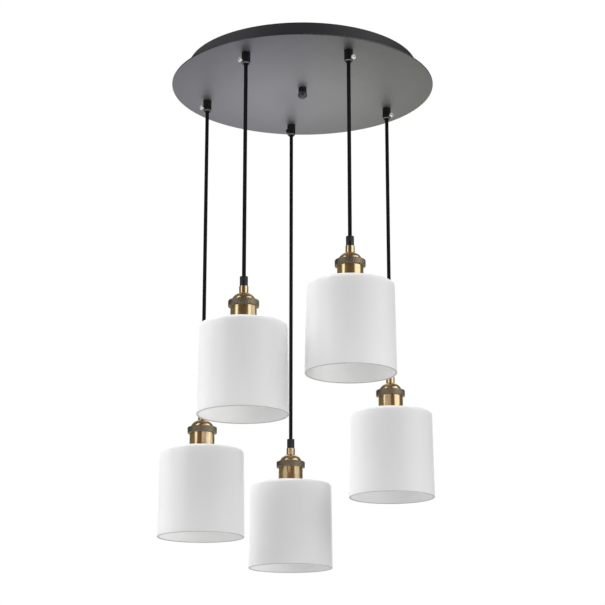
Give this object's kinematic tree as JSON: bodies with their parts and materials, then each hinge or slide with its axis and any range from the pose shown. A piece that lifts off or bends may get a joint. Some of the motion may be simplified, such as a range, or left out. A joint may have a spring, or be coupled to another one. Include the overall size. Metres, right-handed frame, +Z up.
{
  "type": "cluster pendant",
  "caption": "Round ceiling canopy with opal glass cylinder shades on brass lampholders, hung on straight black cords of uneven length.",
  "frame": {"origin": "centre of the ceiling strap's two slots, on the ceiling plane", "axes": "+Z up, into the ceiling; +Y away from the viewer of the picture; +X to the viewer's right"},
  "size_m": [0.4443, 0.4608, 0.8029],
  "materials": {
    "black_enamel": "satin",
    "gunmetal": "satin",
    "zinc_steel": "satin",
    "nickel": "polished",
    "black_cord": "matte",
    "black_plastic": "matte",
    "satin_brass": "satin",
    "antique_bronze": "satin",
    "shell_brass": "satin",
    "porcelain": "gloss",
    "opal_glass": "gloss"
  },
  "bodies": {
    "canopy": {"canopy_pan": "black_enamel", "face_plate": "gunmetal", "ceiling_bracket": "zinc_steel", "centre_stud": "zinc_steel", "stud_nut": "zinc_steel", "cord_grips": "black_enamel", "grip_nuts": "zinc_steel", "terminal_block": "black_plastic", "cord_tails": "black_cord"},
    "cap_nut": {"cap_nut": "black_enamel"},
    "set_screw_1": {"set_screw_1": "nickel"},
    "cord_1": {"cord_1": "black_cord"},
    "lamp_1": {"cord_gland_1": "black_plastic", "holder_cap_1": "satin_brass", "knurled_ring_1": "antique_bronze", "holder_body_1": "satin_brass", "lamp_socket_1": "porcelain", "screw_shell_1": "shell_brass", "glass_shade_1": "opal_glass"},
    "shade_ring_1": {"shade_ring_1": "black_plastic"},
    "set_screw_2": {"set_screw_2": "nickel"},
    "cord_2": {"cord_2": "black_cord"},
    "lamp_2": {"cord_gland_2": "black_plastic", "holder_cap_2": "satin_brass", "knurled_ring_2": "antique_bronze", "holder_body_2": "satin_brass", "lamp_socket_2": "porcelain", "screw_shell_2": "shell_brass", "glass_shade_2": "opal_glass"},
    "shade_ring_2": {"shade_ring_2": "black_plastic"},
    "set_screw_3": {"set_screw_3": "nickel"},
    "cord_3": {"cord_3": "black_cord"},
    "lamp_3": {"cord_gland_3": "black_plastic", "holder_cap_3": "satin_brass", "knurled_ring_3": "antique_bronze", "holder_body_3": "satin_brass", "lamp_socket_3": "porcelain", "screw_shell_3": "shell_brass", "glass_shade_3": "opal_glass"},
    "shade_ring_3": {"shade_ring_3": "black_plastic"},
    "set_screw_4": {"set_screw_4": "nickel"},
    "cord_4": {"cord_4": "black_cord"},
    "lamp_4": {"cord_gland_4": "black_plastic", "holder_cap_4": "satin_brass", "knurled_ring_4": "antique_bronze", "holder_body_4": "satin_brass", "lamp_socket_4": "porcelain", "screw_shell_4": "shell_brass", "glass_shade_4": "opal_glass"},
    "shade_ring_4": {"shade_ring_4": "black_plastic"},
    "set_screw_5": {"set_screw_5": "nickel"},
    "cord_5": {"cord_5": "black_cord"},
    "lamp_5": {"cord_gland_5": "black_plastic", "holder_cap_5": "satin_brass", "knurled_ring_5": "antique_bronze", "holder_body_5": "satin_brass", "lamp_socket_5": "porcelain", "screw_shell_5": "shell_brass", "glass_shade_5": "opal_glass"},
    "shade_ring_5": {"shade_ring_5": "black_plastic"}
  },
  "joints": [
    {"name": "cap_nut_turn", "type": "hinge", "parent": "canopy", "child": "cap_nut", "pos_m": [0, 0, -0.04], "axis": [0, 0, -1], "range_deg": [0, 360]},
    {"name": "set_screw_turn_1", "type": "hinge", "parent": "canopy", "child": "set_screw_1", "pos_m": [0.07211, -0.15395, -0.0459], "axis": [0.682, -0.7314, 0], "range_deg": [0, 270]},
    {"name": "swing_1", "type": "hinge", "parent": "canopy", "child": "cord_1", "pos_m": [0.07211, -0.15395, -0.0522], "axis": [-0.9056, -0.4242, 0], "range_deg": [-1, 20]},
    {"name": "raise_1", "type": "slide", "parent": "cord_1", "child": "lamp_1", "axis": [0, 0, 1], "range_m": [0, 0.15], "deforming": ["cord_1"]},
    {"name": "shade_ring_turn_1", "type": "hinge", "parent": "lamp_1", "child": "shade_ring_1", "pos_m": [0.07211, -0.15395, -0.4209], "axis": [0, 0, -1], "range_deg": [0, 360]},
    {"name": "set_screw_turn_2", "type": "hinge", "parent": "canopy", "child": "set_screw_2", "pos_m": [-0.08883, -0.14495, -0.0459], "axis": [-0.848, -0.5299, 0], "range_deg": [0, 270]},
    {"name": "swing_2", "type": "hinge", "parent": "canopy", "child": "cord_2", "pos_m": [-0.08883, -0.14495, -0.0522], "axis": [-0.8526, 0.5225, 0], "range_deg": [-1, 20]},
    {"name": "raise_2", "type": "slide", "parent": "cord_2", "child": "lamp_2", "axis": [0, 0, 1], "range_m": [0, 0.2], "deforming": ["cord_2"]},
    {"name": "shade_ring_turn_2", "type": "hinge", "parent": "lamp_2", "child": "shade_ring_2", "pos_m": [-0.08883, -0.14495, -0.4819], "axis": [0, 0, -1], "range_deg": [0, 360]},
    {"name": "set_screw_turn_3", "type": "hinge", "parent": "canopy", "child": "set_screw_3", "pos_m": [0.14338, 0.09134, -0.0459], "axis": [0.7193, -0.6947, 0], "range_deg": [0, 270]},
    {"name": "swing_3", "type": "hinge", "parent": "canopy", "child": "cord_3", "pos_m": [0.14338, 0.09134, -0.0522], "axis": [0.5373, -0.8434, 0], "range_deg": [-2, 20]},
    {"name": "raise_3", "type": "slide", "parent": "cord_3", "child": "lamp_3", "axis": [0, 0, 1], "range_m": [0, 0.28], "deforming": ["cord_3"]},
    {"name": "shade_ring_turn_3", "type": "hinge", "parent": "lamp_3", "child": "shade_ring_3", "pos_m": [0.14338, 0.09134, -0.5689], "axis": [0, 0, -1], "range_deg": [0, 360]},
    {"name": "set_screw_turn_4", "type": "hinge", "parent": "canopy", "child": "set_screw_4", "pos_m": [-0.16035, 0.05647, -0.0459], "axis": [-0.848, -0.5299, 0], "range_deg": [0, 270]},
    {"name": "swing_4", "type": "hinge", "parent": "canopy", "child": "cord_4", "pos_m": [-0.16035, 0.05647, -0.0522], "axis": [0.3322, 0.9432, 0], "range_deg": [-2, 20]},
    {"name": "raise_4", "type": "slide", "parent": "cord_4", "child": "lamp_4", "axis": [0, 0, 1], "range_m": [0, 0.34], "deforming": ["cord_4"]},
    {"name": "shade_ring_turn_4", "type": "hinge", "parent": "lamp_4", "child": "shade_ring_4", "pos_m": [-0.16035, 0.05647, -0.6369], "axis": [0, 0, -1], "range_deg": [0, 360]},
    {"name": "set_screw_turn_5", "type": "hinge", "parent": "canopy", "child": "set_screw_5", "pos_m": [-0.01954, 0.16887, -0.0459], "axis": [-0.5, -0.866, 0], "range_deg": [0, 270]},
    {"name": "swing_5", "type": "hinge", "parent": "canopy", "child": "cord_5", "pos_m": [-0.01954, 0.16887, -0.0522], "axis": [0.9934, 0.1149, 0], "range_deg": [-2, 20]},
    {"name": "raise_5", "type": "slide", "parent": "cord_5", "child": "lamp_5", "axis": [0, 0, 1], "range_m": [0, 0.38], "deforming": ["cord_5"]},
    {"name": "shade_ring_turn_5", "type": "hinge", "parent": "lamp_5", "child": "shade_ring_5", "pos_m": [-0.01954, 0.16887, -0.6729], "axis": [0, 0, -1], "range_deg": [0, 360]}
  ]
}
